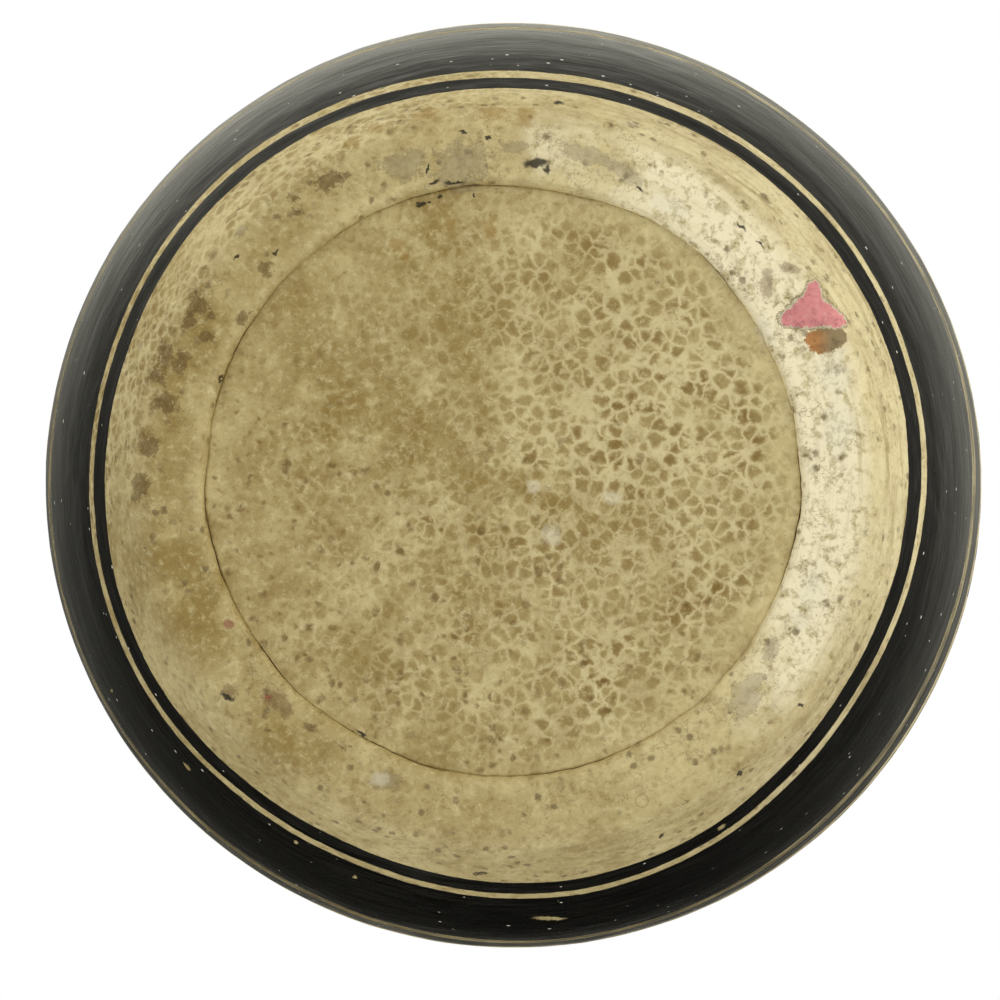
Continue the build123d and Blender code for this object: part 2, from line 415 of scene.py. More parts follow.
def uneven(bm):
    """Gives a turned piece its hand-made unevenness. Works in millimetres."""
    bm.normal_update()
    moved = []
    for vertex in bm.verts:
        spot = vertex.co.copy()
        bearing = Vector((spot.x, spot.y, 0)).normalized()
        on_wall = ease(spot.z, 2.0, 10.0)
        out = lumps(spot) + on_wall * (ridges(spot) - 0.1)
        for centre, half in chip_places if spot.z < 12 else ():
            out -= chip_depth * (1 - ease(hypot(spot.x - centre.x, spot.y - centre.y), 0.75 * half, 1.05 * half)) / 2
        spot += vertex.normal * out
        near_edge = exp(-((hypot(spot.x, spot.y) - floor_edge) / 3.5) ** 2) * (1 - ease(spot.z, 2.0, 6.0))
        spot += bearing * (edge_wander(bearing) * near_edge)
        spot.y *= squash + (1 - squash) * ease(spot.z, 0.5 * squash_end, squash_end)
        spot.z = max(spot.z, 0.0)
        moved.append(spot)
    for vertex, spot in zip(bm.verts, moved):
        vertex.co = spot


print("floor disc edge radius", round(floor_edge, 1), "mm")

# %% [markdown]
# ## Turned pieces
# Each section of the jar is a half outline spun round the axis. The spin operator makes even
# rows of faces, which suit the fine unevenness that follows. A spin of many steps is slow, so
# one sixteenth is spun, then copied and turned until the ring closes. Doubles are merged and
# the normals worked out again before anything is moved along them.

# %% Spin a half outline
sectors = 16


def spun(path, steps, closed=True):
    """A bmesh, in millimetres, of a path of radius and height spun round Z."""
    bm = bmesh.new()
    points = [bm.verts.new((radius, 0, level)) for radius, level in path]
    pairs = list(zip(points, points[1:])) + ([(points[-1], points[0])] if closed else [])
    edges = [bm.edges.new(pair) for pair in pairs]
    bmesh.ops.spin(bm, geom=points + edges, cent=(0, 0, 0), axis=(0, 0, 1), dvec=(0, 0, 0),
                   angle=2 * pi / sectors, steps=steps // sectors, use_duplicate=False)
    made = 1
    while made < sectors:
        copied = bmesh.ops.duplicate(bm, geom=bm.verts[:] + bm.edges[:] + bm.faces[:])["geom"]
        bmesh.ops.rotate(bm, verts=[g for g in copied if isinstance(g, bmesh.types.BMVert)], cent=(0, 0, 0),
                         matrix=Matrix.Rotation(2 * pi * made / sectors, 3, "Z"))
        made *= 2
    bmesh.ops.remove_doubles(bm, verts=bm.verts, dist=1e-4)
    bmesh.ops.recalc_face_normals(bm, faces=bm.faces)
    return bm


def finish_piece(bm, name, slot, *materials):
    """Turns a bmesh in millimetres into a piece of the jar that rides on its body."""
    bmesh.ops.scale(bm, verts=bm.verts, vec=(MM, MM, MM))
    mesh = bpy.data.meshes.new(name)
    bm.to_mesh(mesh)
    bm.free()
    mesh.shade_smooth()
    piece = bpy.data.objects.new(name, mesh)
    bpy.context.collection.objects.link(piece)
    for material in materials:
        mesh.materials.append(material)
    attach(piece, "root")
    print(name, len(mesh.polygons), "faces")
    return piece


def write_marks(piece):
    """Writes to each vertex how deep it lies in the marks of each kind: 1 at a middle, 0.5 at an edge."""
    mesh = piece.data
    near = kdtree.KDTree(len(mesh.vertices))
    for vertex in mesh.vertices:
        near.insert(vertex.co / MM, vertex.index)
    near.balance()
    for kind, marks in soft_marks.items():
        depth = [0.0] * len(mesh.vertices)
        for column, row, half_width, half_height, tilt in marks.values():
            centre = seen_at(column, row)
            turn = Matrix.Rotation(-radians(tilt), 3, "Z")
            for spot, index, _ in near.find_range(centre, 2.2 * max(half_width, half_height) * pixel):
                step = turn @ (spot - centre) / pixel
                far = hypot(step.x / half_width, step.y / half_height)
                depth[index] = max(depth[index], 1.0 - 0.5 * far)
        mesh.attributes.new(kind, "FLOAT", "POINT").data.foreach_set("value", depth)


def bare_inside(bm):
    """Gives the faces that the slip never reached the second material, the bare clay."""
    for face in bm.faces:
        middle = face.calc_center_median()
        inside = hypot(middle.x, middle.y) < wall_radius(min(middle.z, tangent_level)) - 2.0
        face.material_index = 1 if inside and middle.z > 1.5 and middle.z < tangent_level else 0

# %% [markdown]
# ## Materials of fired clay
# Every finish starts from the object's own coordinates in millimetres, so a pattern has its
# real size and stays with the piece. A finish is a colour, a roughness and a height, and one
# can be laid over another through a mask, as the potter laid gloss on slip.

# %% Start and end a material
def start_material(name):
    """A material with an empty tree, its node adder and the position in millimetres."""
    material = bpy.data.materials.new(name)
    material.use_nodes = True
    material.node_tree.nodes.clear()
    add = adder(material.node_tree)
    place = add("VectorMath", {"Vector": add("TexCoord", result="Object"), "Scale": 1 / MM}, operation="SCALE")
    return material, add, place


def end_material(add, colour, rough, height):
    """Joins a finish to one fired clay surface. Fired slip and glaze both have an IOR near 1.5."""
    bump = add("Bump", {"Strength": 1.0, "Distance": MM, "Height": height})
    shader = add("BsdfPrincipled", {"Base Color": colour, "Roughness": rough, "IOR": 1.5, "Normal": bump})
    add("OutputMaterial", [shader])


def tinted(add, colour, layers):
    """Lays flat colours over a colour, one after another, each through its mask."""
    for mask, code in layers:
        colour = add("Mix", {"Factor_Float": mask, "A_Color": colour, "B_Color": srgb(code)}, "Result_Color",
                     data_type="RGBA")
    return colour


def painted(add, ground, paint, mask, thickness):
    """Lays one finish over another through a mask, standing up by a thickness in millimetres."""
    colour = add("Mix", {"Factor_Float": mask, "A_Color": ground[0], "B_Color": paint[0]}, "Result_Color",
                 data_type="RGBA")
    rough = add("Mix", {"Factor_Float": mask, "A_Float": ground[1], "B_Float": paint[1]}, "Result_Float",
                data_type="FLOAT")
    height = add("Mix", {"Factor_Float": mask, "A_Float": ground[2], "B_Float": paint[2]}, "Result_Float",
                 data_type="FLOAT")
    return colour, rough, add("Math", [mask, thickness, height], operation="MULTIPLY_ADD")


def bent_by_hand(add, place, amount, size):
    """A position bent by noise of a size, both in millimetres, so that edges look drawn or broken."""
    bend = add("TexNoise", {"Vector": place, "Scale": 1 / size, "Detail": 3.0}, result=1)
    bend = add("VectorMath", [bend, (0.5, 0.5, 0.5)], operation="SUBTRACT")
    bend = add("VectorMath", {"Vector": bend, "Scale": 2 * amount}, operation="SCALE")
    return add("VectorMath", [place, bend], operation="ADD")


def around(add, place, across, along):
    """A position for streaks that run round the jar, across wide and along long in millimetres."""
    flat = add("VectorMath", [place, (1.0, 1.0, 0.0)], operation="MULTIPLY")
    bearing = add("VectorMath", [flat], operation="NORMALIZE")
    bearing = add("VectorMath", {"Vector": bearing, "Scale": belly_radius / along}, operation="SCALE")
    reach = add("VectorMath", [flat], operation="LENGTH", result="Value")
    level = add("SeparateXYZ", [place], result=2)
    step = add("Math", [add("Math", [level, reach], operation="SUBTRACT"), across], operation="DIVIDE")
    return add("VectorMath", [bearing, add("CombineXYZ", [0.0, 0.0, step])], operation="ADD")


def stripes(add, value, edges, soft):
    """1 inside each stretch from low to high of a value, with edges as soft as given."""
    total = None
    for low, high in edges:
        rise = add("MapRange", [value, low - soft, low + soft], interpolation_type="SMOOTHSTEP")
        drop = add("MapRange", [value, high + soft, high - soft], interpolation_type="SMOOTHSTEP")
        stripe = add("Math", [rise, drop], operation="MULTIPLY")
        total = stripe if total is None else add("Math", [total, stripe], operation="MAXIMUM")
    return total


# %% [markdown]
# ## Cream slip
# The jar's ground is a cream slip: fine clay brushed on thinly and burnished, so it is matt
# with a faint sheen. The maker aged it with a brown wash that gathered in small cells and
# soft spots. Cells like these are what a Voronoi pattern draws, and two sizes of it, bent by a
# little noise, come close to the wash without any drawn picture.

# %% Slip and wash
def cream_slip(add, place, cellular, spotted, chalk, tone):
    """Colour, roughness and height in millimetres of the aged slip.

    cellular is how strong the net of brown cells is, spotted how strong the soft dark spots
    are, chalk how worn and lumpy the surface is, with painted highlight on its lumps and painted
    shade in its pits, and tone how pale it is, all from 0 to 1.
    Cells or chalk are left out where None is given.
    """
    bent = bent_by_hand(add, place, 0.45, 1.3)
    drift = add("TexNoise", {"Vector": place, "Scale": 1 / 13.0, "Detail": 4.0, "Roughness": 0.6})
    drift = add("MapRange", [drift, 0.3, 0.7, -0.3, 0.3])
    tone = add("Math", [tone, drift], operation="ADD", use_clamp=True)
    colour = add("Mix", {"Factor_Float": tone, "A_Color": srgb("#9A8242"), "B_Color": srgb("#DDCC93")},
                 "Result_Color", data_type="RGBA")
    cloud = add("TexNoise", {"Vector": bent, "Scale": 1 / 3.4, "Detail": 5.0, "Roughness": 0.65})
    pale_cloud = add("MapRange", [cloud, 0.50, 0.66, 0.0, 0.4], interpolation_type="SMOOTHSTEP")
    brown_cloud = add("MapRange", [cloud, 0.50, 0.34, 0.0, 0.4], interpolation_type="SMOOTHSTEP")
    colour = tinted(add, colour, [(pale_cloud, "#D6C58A"), (brown_cloud, "#94793A")])

    patches = add("TexNoise", {"Vector": place, "Scale": 1 / 6.0, "Detail": 4.0, "Roughness": 0.6})
    in_patch = add("MapRange", [patches, 0.34, 0.56, 0.45, 1.0], interpolation_type="SMOOTHSTEP")
    if cellular is not None:
        cell_size = 1 / 1.5
        torn = bent_by_hand(add, bent, 0.40, 0.75)
        rim = add("TexVoronoi", {"Vector": torn, "Scale": cell_size}, feature="DISTANCE_TO_EDGE")
        near = add("TexVoronoi", {"Vector": torn, "Scale": cell_size})
        own = add("SeparateColor", [add("TexVoronoi", {"Vector": torn, "Scale": cell_size}, result=1)])
        strength = add("Math", [in_patch, cellular], operation="MULTIPLY")
        rim = add("MapRange", [rim, -0.05, 0.30], interpolation_type="SMOOTHSTEP")
        round_cell = add("MapRange", [near, 0.95, 0.34], interpolation_type="SMOOTHSTEP")
        cell = add("Math", [rim, round_cell], operation="MULTIPLY")
        filled = add("Math", [cell, add("MapRange", [own, 0.1, 0.9, 0.35, 0.95])], operation="MULTIPLY")
        filled = add("Math", [filled, strength], operation="MULTIPLY")
        veins = add("MapRange", [cell, 0.05, 0.55, 0.6, 0.0])
        veins = add("Math", [veins, strength], operation="MULTIPLY")
        colour = tinted(add, colour, [(filled, "#7F6320"), (veins, "#E6D8A4")])

    spot_size = 1 / 1.2
    spot = add("TexVoronoi", {"Vector": bent, "Scale": spot_size})
    spot_own = add("SeparateColor", [add("TexVoronoi", {"Vector": bent, "Scale": spot_size}, result=1)])
    spot_edge = add("MapRange", [spot_own, 0.2, 1.0, 0.0, 0.46])
    spots = add("Math", [spot_edge, spot], operation="SUBTRACT")
    spots = add("MapRange", [spots, -0.12, 0.22, 0.0, 0.8], interpolation_type="SMOOTHSTEP")
    for factor in (in_patch, spotted):
        spots = add("Math", [spots, factor], operation="MULTIPLY")
    mottle = add("TexNoise", {"Vector": bent, "Scale": 1 / 0.95, "Detail": 6.0, "Roughness": 0.8})
    pale_mottle = add("MapRange", [mottle, 0.50, 0.66, 0.0, 0.45], interpolation_type="SMOOTHSTEP")
    brown_mottle = add("MapRange", [mottle, 0.48, 0.32, 0.0, 0.6], interpolation_type="SMOOTHSTEP")
    colour = tinted(add, colour, [(spots, "#735820"), (pale_mottle, "#E3D5A0"), (brown_mottle, "#886C2E")])

    if chalk is not None:
        nick = add("TexVoronoi", {"Vector": bent_by_hand(add, place, 0.35, 0.6), "Scale": 1 / 1.7})
        nick = add("MapRange", [nick, 0.30, 0.12, 0.0, 0.7], interpolation_type="SMOOTHSTEP")
        nick = add("Math", [nick, add("MapRange", [patches, 0.44, 0.54])], operation="MULTIPLY")
        vein = add("TexNoise", {"Vector": place, "Scale": 1 / 2.4, "Detail": 5.0, "Roughness": 0.62})
        crack = add("Math", [add("Math", [vein, 0.5], operation="SUBTRACT")], operation="ABSOLUTE")
        crack = add("MapRange", [crack, 0.012, 0.004, 0.0, 0.45])
        crack = add("Math", [crack, add("MapRange", [patches, 0.50, 0.56])], operation="MULTIPLY")
        # The chalky crust: its tops are painted near white and its pits dark. This is the crust's own colour together
        # with painted highlight and painted shade that follow its bump.
        crust = add("TexNoise", {"Vector": bent, "Scale": 1 / 1.4, "Detail": 7.0, "Roughness": 0.75})
        crust_top_highlight = add("MapRange", [crust, 0.35, 0.51, 0.0, 0.9], interpolation_type="SMOOTHSTEP")
        crust_pit_shade = add("MapRange", [crust, 0.38, 0.29, 0.0, 0.8], interpolation_type="SMOOTHSTEP")
        crust_top_highlight = add("Math", [crust_top_highlight, chalk], operation="MULTIPLY")
        crust_pit_shade = add("Math", [crust_pit_shade, chalk], operation="MULTIPLY")
        colour = tinted(add, colour, [(crust_top_highlight, "#FFF3CA"), (crust_pit_shade, "#7A6737"), (nick, "#6F5C33"),
                                      (crack, "#5F4B22")])

    grain = add("TexNoise", {"Vector": place, "Scale": 1 / 0.5, "Detail": 4.0, "Roughness": 0.7})
    rough = add("MapRange", [grain, 0.3, 0.75, 0.40, 0.62])
    height = add("Math", [grain, -0.05], operation="MULTIPLY")
    if chalk is not None:
        height = add("Math", [crust_top_highlight, 0.06, height], operation="MULTIPLY_ADD")
        height = add("Math", [crust_pit_shade, -0.12, height], operation="MULTIPLY_ADD")
        height = add("Math", [nick, -0.08, height], operation="MULTIPLY_ADD")
    height = add("Math", [cloud, 0.10, height], operation="MULTIPLY_ADD")
    return colour, rough, height


def fine_marks(add, place, marks, on_floor):
    """1 inside any of the fine marks that lie on the floor disc, or outside it."""
    total = None
    for column, row, half_width, half_height, tilt in marks.values():
        centre = seen_at(column, row)
        if (hypot(centre.x, centre.y) < floor_edge) != on_floor:
            continue
        local = add("Mapping", {"Vector": place, "Location": (centre.x, centre.y, 0.0),
                                "Rotation": (0.0, 0.0, radians(tilt)),
                                "Scale": (half_width * pixel, half_height * pixel, 1000.0)}, vector_type="TEXTURE")
        far = add("VectorMath", [local], operation="LENGTH", result="Value")
        total = far if total is None else add("Math", [total, far], operation="MINIMUM")
    return add("MapRange", [total, 1.25, 0.6, 0.0, 0.9], interpolation_type="SMOOTHSTEP")


def chipped(add, place, colour, ragged):
    """The chip on the wall: pink clay in a pale broken rim, and brown undercoat below it."""
    dust = add("TexNoise", {"Vector": place, "Scale": 1 / 0.55, "Detail": 5.0, "Roughness": 0.7})
    broken = add("Math", [dust, 0.5], operation="SUBTRACT")
    broken = add("Math", [broken, 0.5, add("Math", [ragged, 0.25], operation="MULTIPLY")], operation="MULTIPLY_ADD")
    under = add("Math", [broken, add("Attribute", result="Fac", attribute_name="brown_chip")], operation="ADD")
    under = add("MapRange", [under, 0.47, 0.53], interpolation_type="SMOOTHSTEP")
    east = add("SeparateXYZ", [place])
    greyer = add("MapRange", [east, seen_at(812, 340).x, seen_at(834, 340).x], interpolation_type="SMOOTHSTEP")
    brown = tinted(add, srgb("#C0854A"), [(greyer, "#937F58"), (add("MapRange", [dust, 0.5, 0.7, 0.0, 0.6]), "#5F4A2A")])
    colour = add("Mix", {"Factor_Float": under, "A_Color": colour, "B_Color": brown}, "Result_Color", data_type="RGBA")
    depth = add("Math", [broken, add("Attribute", result="Fac", attribute_name="pink_chip")], operation="ADD")
    edge = stripes(add, depth, [(0.40, 0.46)], 0.025)
    lip = stripes(add, depth, [(0.46, 0.53)], 0.02)
    clay = add("MapRange", [depth, 0.50, 0.53], interpolation_type="SMOOTHSTEP")
    dark = add("MapRange", [dust, 0.55, 0.68, 0.0, 0.8])
    pale = add("MapRange", [dust, 0.45, 0.32, 0.0, 0.6])
    pink = tinted(add, srgb("#DC8B88"), [(pale, "#E6B3A4"), (dark, "#A8615F")])
    colour = tinted(add, colour, [(edge, "#93845A"), (lip, "#CFC5A4")])
    return add("Mix", {"Factor_Float": clay, "A_Color": colour, "B_Color": pink}, "Result_Color", data_type="RGBA")


def marked(add, place, ground, on_floor):
    """Lays the marks of use over the slip, and with them the painted highlights among the pale marks."""
    colour, rough, height = ground
    speckle = add("TexNoise", {"Vector": place, "Scale": 1 / 1.4, "Detail": 6.0, "Roughness": 0.82})
    ragged = add("Math", [speckle, 0.5], operation="SUBTRACT")
    patchy = add("MapRange", [speckle, 0.35, 0.65, 1.0, 0.5])
    # The pale marks lay chalky colour that is partly painted highlight on the right of the ring.
    kinds = (("brown_wash", "#5F440B", 0.13, 0.9, 3.4), ("ochre_streaks", "#96711D", 0.22, 0.65, 2.8),
             ("grey_wear", "#8E8064", 0.24, 0.62, 2.4), ("brown_rough", "#74562E", 0.16, 0.8, 2.6),
             ("white_spots_and_highlights", "#ECE5C8", 0.26, 0.55, 2.2), ("red_flecks", "#8E4934", 0.14, 0.9, 0.9))
    for kind, code, soft, strength, ragging in kinds:
        depth = add("Attribute", result="Fac", attribute_name=kind)
        depth = add("Math", [ragged, ragging, depth], operation="MULTIPLY_ADD")
        mask = add("MapRange", [depth, 0.5 - soft, 0.5 + soft, 0.0, strength], interpolation_type="SMOOTHSTEP")
        mask = add("Math", [mask, patchy], operation="MULTIPLY")
        colour = tinted(add, colour, [(mask, code)])
        if kind == "grey_wear":
            outline = stripes(add, depth, [(0.40, 0.50)], 0.05)
            outline = add("Math", [outline, 0.45], operation="MULTIPLY")
            colour = tinted(add, colour, [(outline, "#67583A")])
    hoop = add("Attribute", result="Fac", attribute_name="air_rings")
    hoop = add("Math", [ragged, 0.12, hoop], operation="MULTIPLY_ADD")
    hoop = stripes(add, hoop, [(0.49, 0.56)], 0.04)
    hoop = add("Math", [hoop, 0.5], operation="MULTIPLY")
    torn = bent_by_hand(add, place, 0.5, 0.7)
    pit = fine_marks(add, torn, dark_pits, on_floor)
    colour = tinted(add, colour, [(hoop, "#7C662F"), (pit, "#2B2414")])
    if not on_floor:
        colour = chipped(add, place, colour, ragged)
    return colour, rough, add("Math", [pit, -0.12, height], operation="MULTIPLY_ADD")


# %% [markdown]
# ## Floor disc
# The recessed floor is a disc set in from inside. Its underside faces the camera, so it gets
# an even mesh: a square grid pressed into a round outline has cells of one size, where a spun
# disc would have slivers at its centre. The rim and flange are then extruded from its edge.

# %% Floor disc finish
floor_finish, add, place = start_material("aged_cream_slip_floor")
east = add("VectorMath", [place, (0.95, 0.05, 0.0)], operation="DOT_PRODUCT", result="Value")
south_west = add("VectorMath", [place, (-0.55, 0.85, 0.0)], operation="DOT_PRODUCT", result="Value")
sway = add("TexNoise", {"Vector": place, "Scale": 1 / 9.0, "Detail": 4.0, "Roughness": 0.6})
sway = add("MapRange", [sway, 0.3, 0.7, -14.0, 14.0])
cellular = add("MapRange", [add("Math", [east, sway], operation="ADD"), -26.0, 24.0, 0.08, 1.0])
spotted = add("MapRange", [add("Math", [south_west, sway], operation="ADD"), -10.0, 10.0, 0.15, 1.0],
              interpolation_type="SMOOTHSTEP")
reach = add("VectorMath", [add("VectorMath", [place, (1.0, 1.0, 0.0)], operation="MULTIPLY")], operation="LENGTH",
            result="Value")
cellular = add("Math", [cellular, add("MapRange", [reach, 26.5, 30.6, 1.0, 0.28])], operation="MULTIPLY")
# Paler towards +X: partly the slip's own paler, chalkier side and partly painted light of the lit +X side.
tone = add("MapRange", [east, -30.0, 30.0, 0.18, 0.44])
tone = add("Math", [tone, add("MapRange", [reach, 10.0, 30.0, -0.10, 0.08])], operation="ADD")
# A painted highlight: the edge of the disc next to the recess wall is painted paler on its +X side.
painted_highlight_side = add("MapRange", [east, -12.0, 16.0], interpolation_type="SMOOTHSTEP")
painted_highlight_rim = add("MapRange", [reach, 27.0, 31.2, 0.0, 0.32], interpolation_type="SMOOTHSTEP")
tone = add("Math", [painted_highlight_side, painted_highlight_rim, tone], operation="MULTIPLY_ADD")
ground = cream_slip(add, place, cellular, spotted, None, tone)
end_material(add, *marked(add, place, ground, True))

# %% Floor disc shape
floor_pitch = 0.32
least_seam = -0.02
most_seam = 0.035
disc_radius = floor_edge - least_seam
flange_level = floor_top - 3.0


def pressed_round(x, y):
    """Presses a point of a square of half width 1 into a circle of radius 1."""
    return x * sqrt(1 - y * y / 2), y * sqrt(1 - x * x / 2)


def pulled_up(bm, edges, ratio, level):
    """Extrudes a ring of edges to a new radius and level and gives back its edges."""
    made = bmesh.ops.extrude_edge_only(bm, edges=edges)["geom"]
    verts = [g for g in made if isinstance(g, bmesh.types.BMVert)]
    for vertex in verts:
        vertex.co = Vector((vertex.co.x * ratio, vertex.co.y * ratio, level))
    return [g for g in made if isinstance(g, bmesh.types.BMEdge) and all(v in verts for v in g.verts)]


cells = round(2 * disc_radius / floor_pitch)
bm = bmesh.new()
bmesh.ops.create_grid(bm, x_segments=cells, y_segments=cells, size=1.0)
for vertex in bm.verts:
    x, y = pressed_round(vertex.co.x, vertex.co.y)
    opened = ease(noise.noise(Vector((x, y, 0)) * 2.2) + 0.35 * (y - x), -0.2, 0.5) * (most_seam - least_seam)
    vertex.co = Vector((x * (disc_radius - opened), y * (disc_radius - opened), floor_level))
edges = [e for e in bm.edges if e.is_boundary]
edges = pulled_up(bm, edges, 1.0, flange_level - 0.02)
edges = pulled_up(bm, edges, flange_radius / disc_radius, flange_level)
edges = pulled_up(bm, edges, 1.0, floor_top)
bmesh.ops.edgeloop_fill(bm, edges=edges)
bmesh.ops.recalc_face_normals(bm, faces=bm.faces)
uneven(bm)
floor_disc = finish_piece(bm, "slip_floor_disc", "cream_slip", floor_finish)
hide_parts("floor_disc")
write_marks(floor_disc)

# %% [markdown]
# ## Black gloss
# The black is a fine iron slip brushed on while the jar turned, then fired to a satin gloss.
# The streaks of the brush run round the jar and carry small bright specks where a bubble broke
# the film. Bands are rings, so a level on the wall is all that a mask needs, moved a little by
# noise and by a few slow waves, as a hand-held brush moves.

# %% Gloss and bands
def black_gloss(add, place):
    """Colour, roughness and height in millimetres of the brushed black gloss."""
    streak = add("TexNoise", {"Vector": around(add, place, 0.35, 7.0), "Scale": 1.0, "Detail": 3.0})
    broad = add("TexNoise", {"Vector": around(add, place, 1.6, 12.0), "Scale": 1.0, "Detail": 2.0})
    thin = add("MapRange", [streak, 0.45, 0.75], interpolation_type="SMOOTHSTEP")
    thin = add("Math", [thin, add("MapRange", [broad, 0.4, 0.7])], operation="MULTIPLY")
    colour = tinted(add, srgb("#070603"), [(thin, "#17140C")])
    rough = add("MapRange", [streak, 0.3, 0.7, 0.20, 0.34])
    speck_size = 1 / 1.5
    speck = add("TexVoronoi", {"Vector": place, "Scale": speck_size})
    speck_own = add("SeparateColor", [add("TexVoronoi", {"Vector": place, "Scale": speck_size}, result=1)])
    speck_edge = add("MapRange", [speck_own, 0.62, 1.0, 0.0, 0.15])
    grit = add("MapRange", [add("Math", [speck_edge, speck], operation="SUBTRACT"), -0.01, 0.03])
    colour = tinted(add, colour, [(grit, "#D6D2C2")])
    rough = add("Math", [grit, 0.3, rough], operation="MULTIPLY_ADD")
    height = add("Math", [streak, 0.027], operation="MULTIPLY")
    height = add("Math", [broad, 0.055, height], operation="MULTIPLY_ADD")
    return colour, rough, add("Math", [grit, 0.03, height], operation="MULTIPLY_ADD")


def hand_level(add, place, waves, shake):
    """The height up the wall as the brush followed it: slow waves round the jar and a small shake."""
    x, y, level = (add("SeparateXYZ", [place], result=i) for i in range(3))
    bearing = add("Math", [y, x], operation="ARCTAN2")
    for count, sine, cosine in waves:
        turn = add("Math", [bearing, float(count)], operation="MULTIPLY")
        for kind, size in (("SINE", sine), ("COSINE", cosine)):
            wave = add("Math", [turn], operation=kind)
            level = add("Math", [wave, -size, level], operation="MULTIPLY_ADD")
    for size, amount in ((9.0, shake), (1.0, 0.5 * shake)):
        shift = add("TexNoise", {"Vector": place, "Scale": 1 / size, "Detail": 3.0})
        shift = add("Math", [shift, 0.5], operation="SUBTRACT")
        level = add("Math", [shift, 2 * amount, level], operation="MULTIPLY_ADD")
    return level


def folded(add, place, count, shift):
    """Where a point lies in one of count equal shares of the turn: from -0.5 to 0.5, and its number."""
    x, y = (add("SeparateXYZ", [place], result=i) for i in range(2))
    bearing = add("Math", [y, x], operation="ARCTAN2")
    share = add("Math", [bearing, count / (2 * pi), shift], operation="MULTIPLY_ADD")
    number = add("Math", [share], operation="FLOOR")
    within = add("Math", [add("Math", [share, number], operation="SUBTRACT"), 0.5], operation="SUBTRACT")
    return within, number


def odd(add, number):
    """1 for odd numbers and 0 for even ones."""
    return add("Math", [number, 2.0], operation="FLOORED_MODULO")


def chequered(add, place, level, levels, rows, count):
    """A mask of a chequer of rows between two levels, count squares round the jar."""
    low, high = levels
    number = folded(add, place, count, 0.0)[1]
    row = add("MapRange", [level, low, high, 0.0, float(rows)], clamp=False)
    row = add("Math", [row], operation="FLOOR")
    square = odd(add, add("Math", [number, row], operation="ADD"))
    return add("Math", [square, stripes(add, level, [levels], 0.05)], operation="MULTIPLY")


# %% Lower wall finish
brush_waves = ((3, -0.7, -0.15), (4, -0.62, 0.0), (5, 0.25, 0.35))
foot_line = (7.85, 11.75)
foot_band = (13.2, 34.1)
washed_line = (34.1, 36.9)
belly_band = (36.9, 42.9)
chequer = (48.0, 54.6)
chequer_rows = 3
chequer_count = 156
chequer_lines = [(45.6, 46.6), (56.0, 57.0)]
lower_finish, add, place = start_material("aged_slip_and_gloss_lower_wall")
reach = add("VectorMath", [add("VectorMath", [place, (1.0, 1.0, 0.0)], operation="MULTIPLY")], operation="LENGTH",
            result="Value")
east = add("VectorMath", [place, (0.95, -0.30, 0.0)], operation="DOT_PRODUCT", result="Value")
sway = add("TexNoise", {"Vector": place, "Scale": 1 / 9.0, "Detail": 4.0, "Roughness": 0.6})
sway = add("MapRange", [sway, 0.3, 0.7, -9.0, 9.0])
chalk = add("MapRange", [add("Math", [east, sway], operation="ADD"), 11.0, 28.0], interpolation_type="SMOOTHSTEP")
on_ring = add("MapRange", [reach, 39.5, 36.3], interpolation_type="SMOOTHSTEP")
chalk = add("Math", [chalk, add("MapRange", [on_ring, 0.0, 1.0, 0.25, 1.0])], operation="MULTIPLY")
# Painted light: the inner rounding of the ring is painted paler all round, lifting the shade where the ring drops into
# the recess.
painted_light_on_ring_edge = stripes(add, reach, [(floor_edge, floor_edge + 1.6)], 0.7)
# Paler towards +X, less so on the outer wall: partly the chalky worn side of the slip and partly painted light of the
# lit +X side.
tone = add("MapRange", [east, -34.0, 34.0, 0.12, 0.95])
tone = add("Math", [painted_light_on_ring_edge, 0.15, tone], operation="MULTIPLY_ADD")
outward = add("MapRange", [reach, 35.5, 40.5])
wall_tone_and_light = add("MapRange", [east, -22.0, 26.0, 0.25, -0.36])
tone = add("Math", [outward, wall_tone_and_light, tone], operation="MULTIPLY_ADD")
north_west = add("VectorMath", [place, (-0.75, -0.66, 0.0)], operation="DOT_PRODUCT", result="Value")
cellular = add("MapRange", [north_west, 22.0, 36.0, 0.0, 0.6], interpolation_type="SMOOTHSTEP")
cellular = add("Math", [cellular, add("MapRange", [reach, 36.4, 38.4])], operation="MULTIPLY")
ground = cream_slip(add, place, cellular, 0.35, chalk, tone)
turning = add("TexNoise", {"Vector": around(add, place, 0.42, 14.0), "Scale": 1.0, "Detail": 3.0})
dark_turning = add("MapRange", [turning, 0.52, 0.70, 0.0, 0.55])
pale_turning = add("MapRange", [turning, 0.48, 0.32, 0.0, 0.25])
turned = add("MapRange", [east, -10.0, 30.0, 0.2, 1.0])
turned = add("Math", [turned, add("MapRange", [outward, 0.0, 1.0, 0.35, 1.0])], operation="MULTIPLY")
dark_turning = add("Math", [dark_turning, turned], operation="MULTIPLY")
pale_turning = add("Math", [pale_turning, turned], operation="MULTIPLY")
ground = (tinted(add, ground[0], [(dark_turning, "#8F7B45"), (pale_turning, "#EADFB4")]), *ground[1:])
ground = marked(add, place, ground, False)
level = hand_level(add, place, brush_waves, 0.22)
gloss = black_gloss(add, place)
bands = stripes(add, level, [foot_line, foot_band, belly_band, *chequer_lines], 0.09)
south = add("VectorMath", [place, (0.0, 1.0, 0.0)], operation="DOT_PRODUCT", result="Value")
line_start = add("MapRange", [south, -30.0, 30.0, foot_line[0], foot_line[0] + 0.7])
line_start = add("MapRange", [add("Math", [level, line_start], operation="SUBTRACT"), -0.05, 0.05])
line_top = add("MapRange", [south, -28.0, -42.0, foot_line[1], foot_line[1] - 0.7])
bare = stripes(add, add("Math", [level, line_top], operation="SUBTRACT"), [(0.0, 1.4)], 0.09)
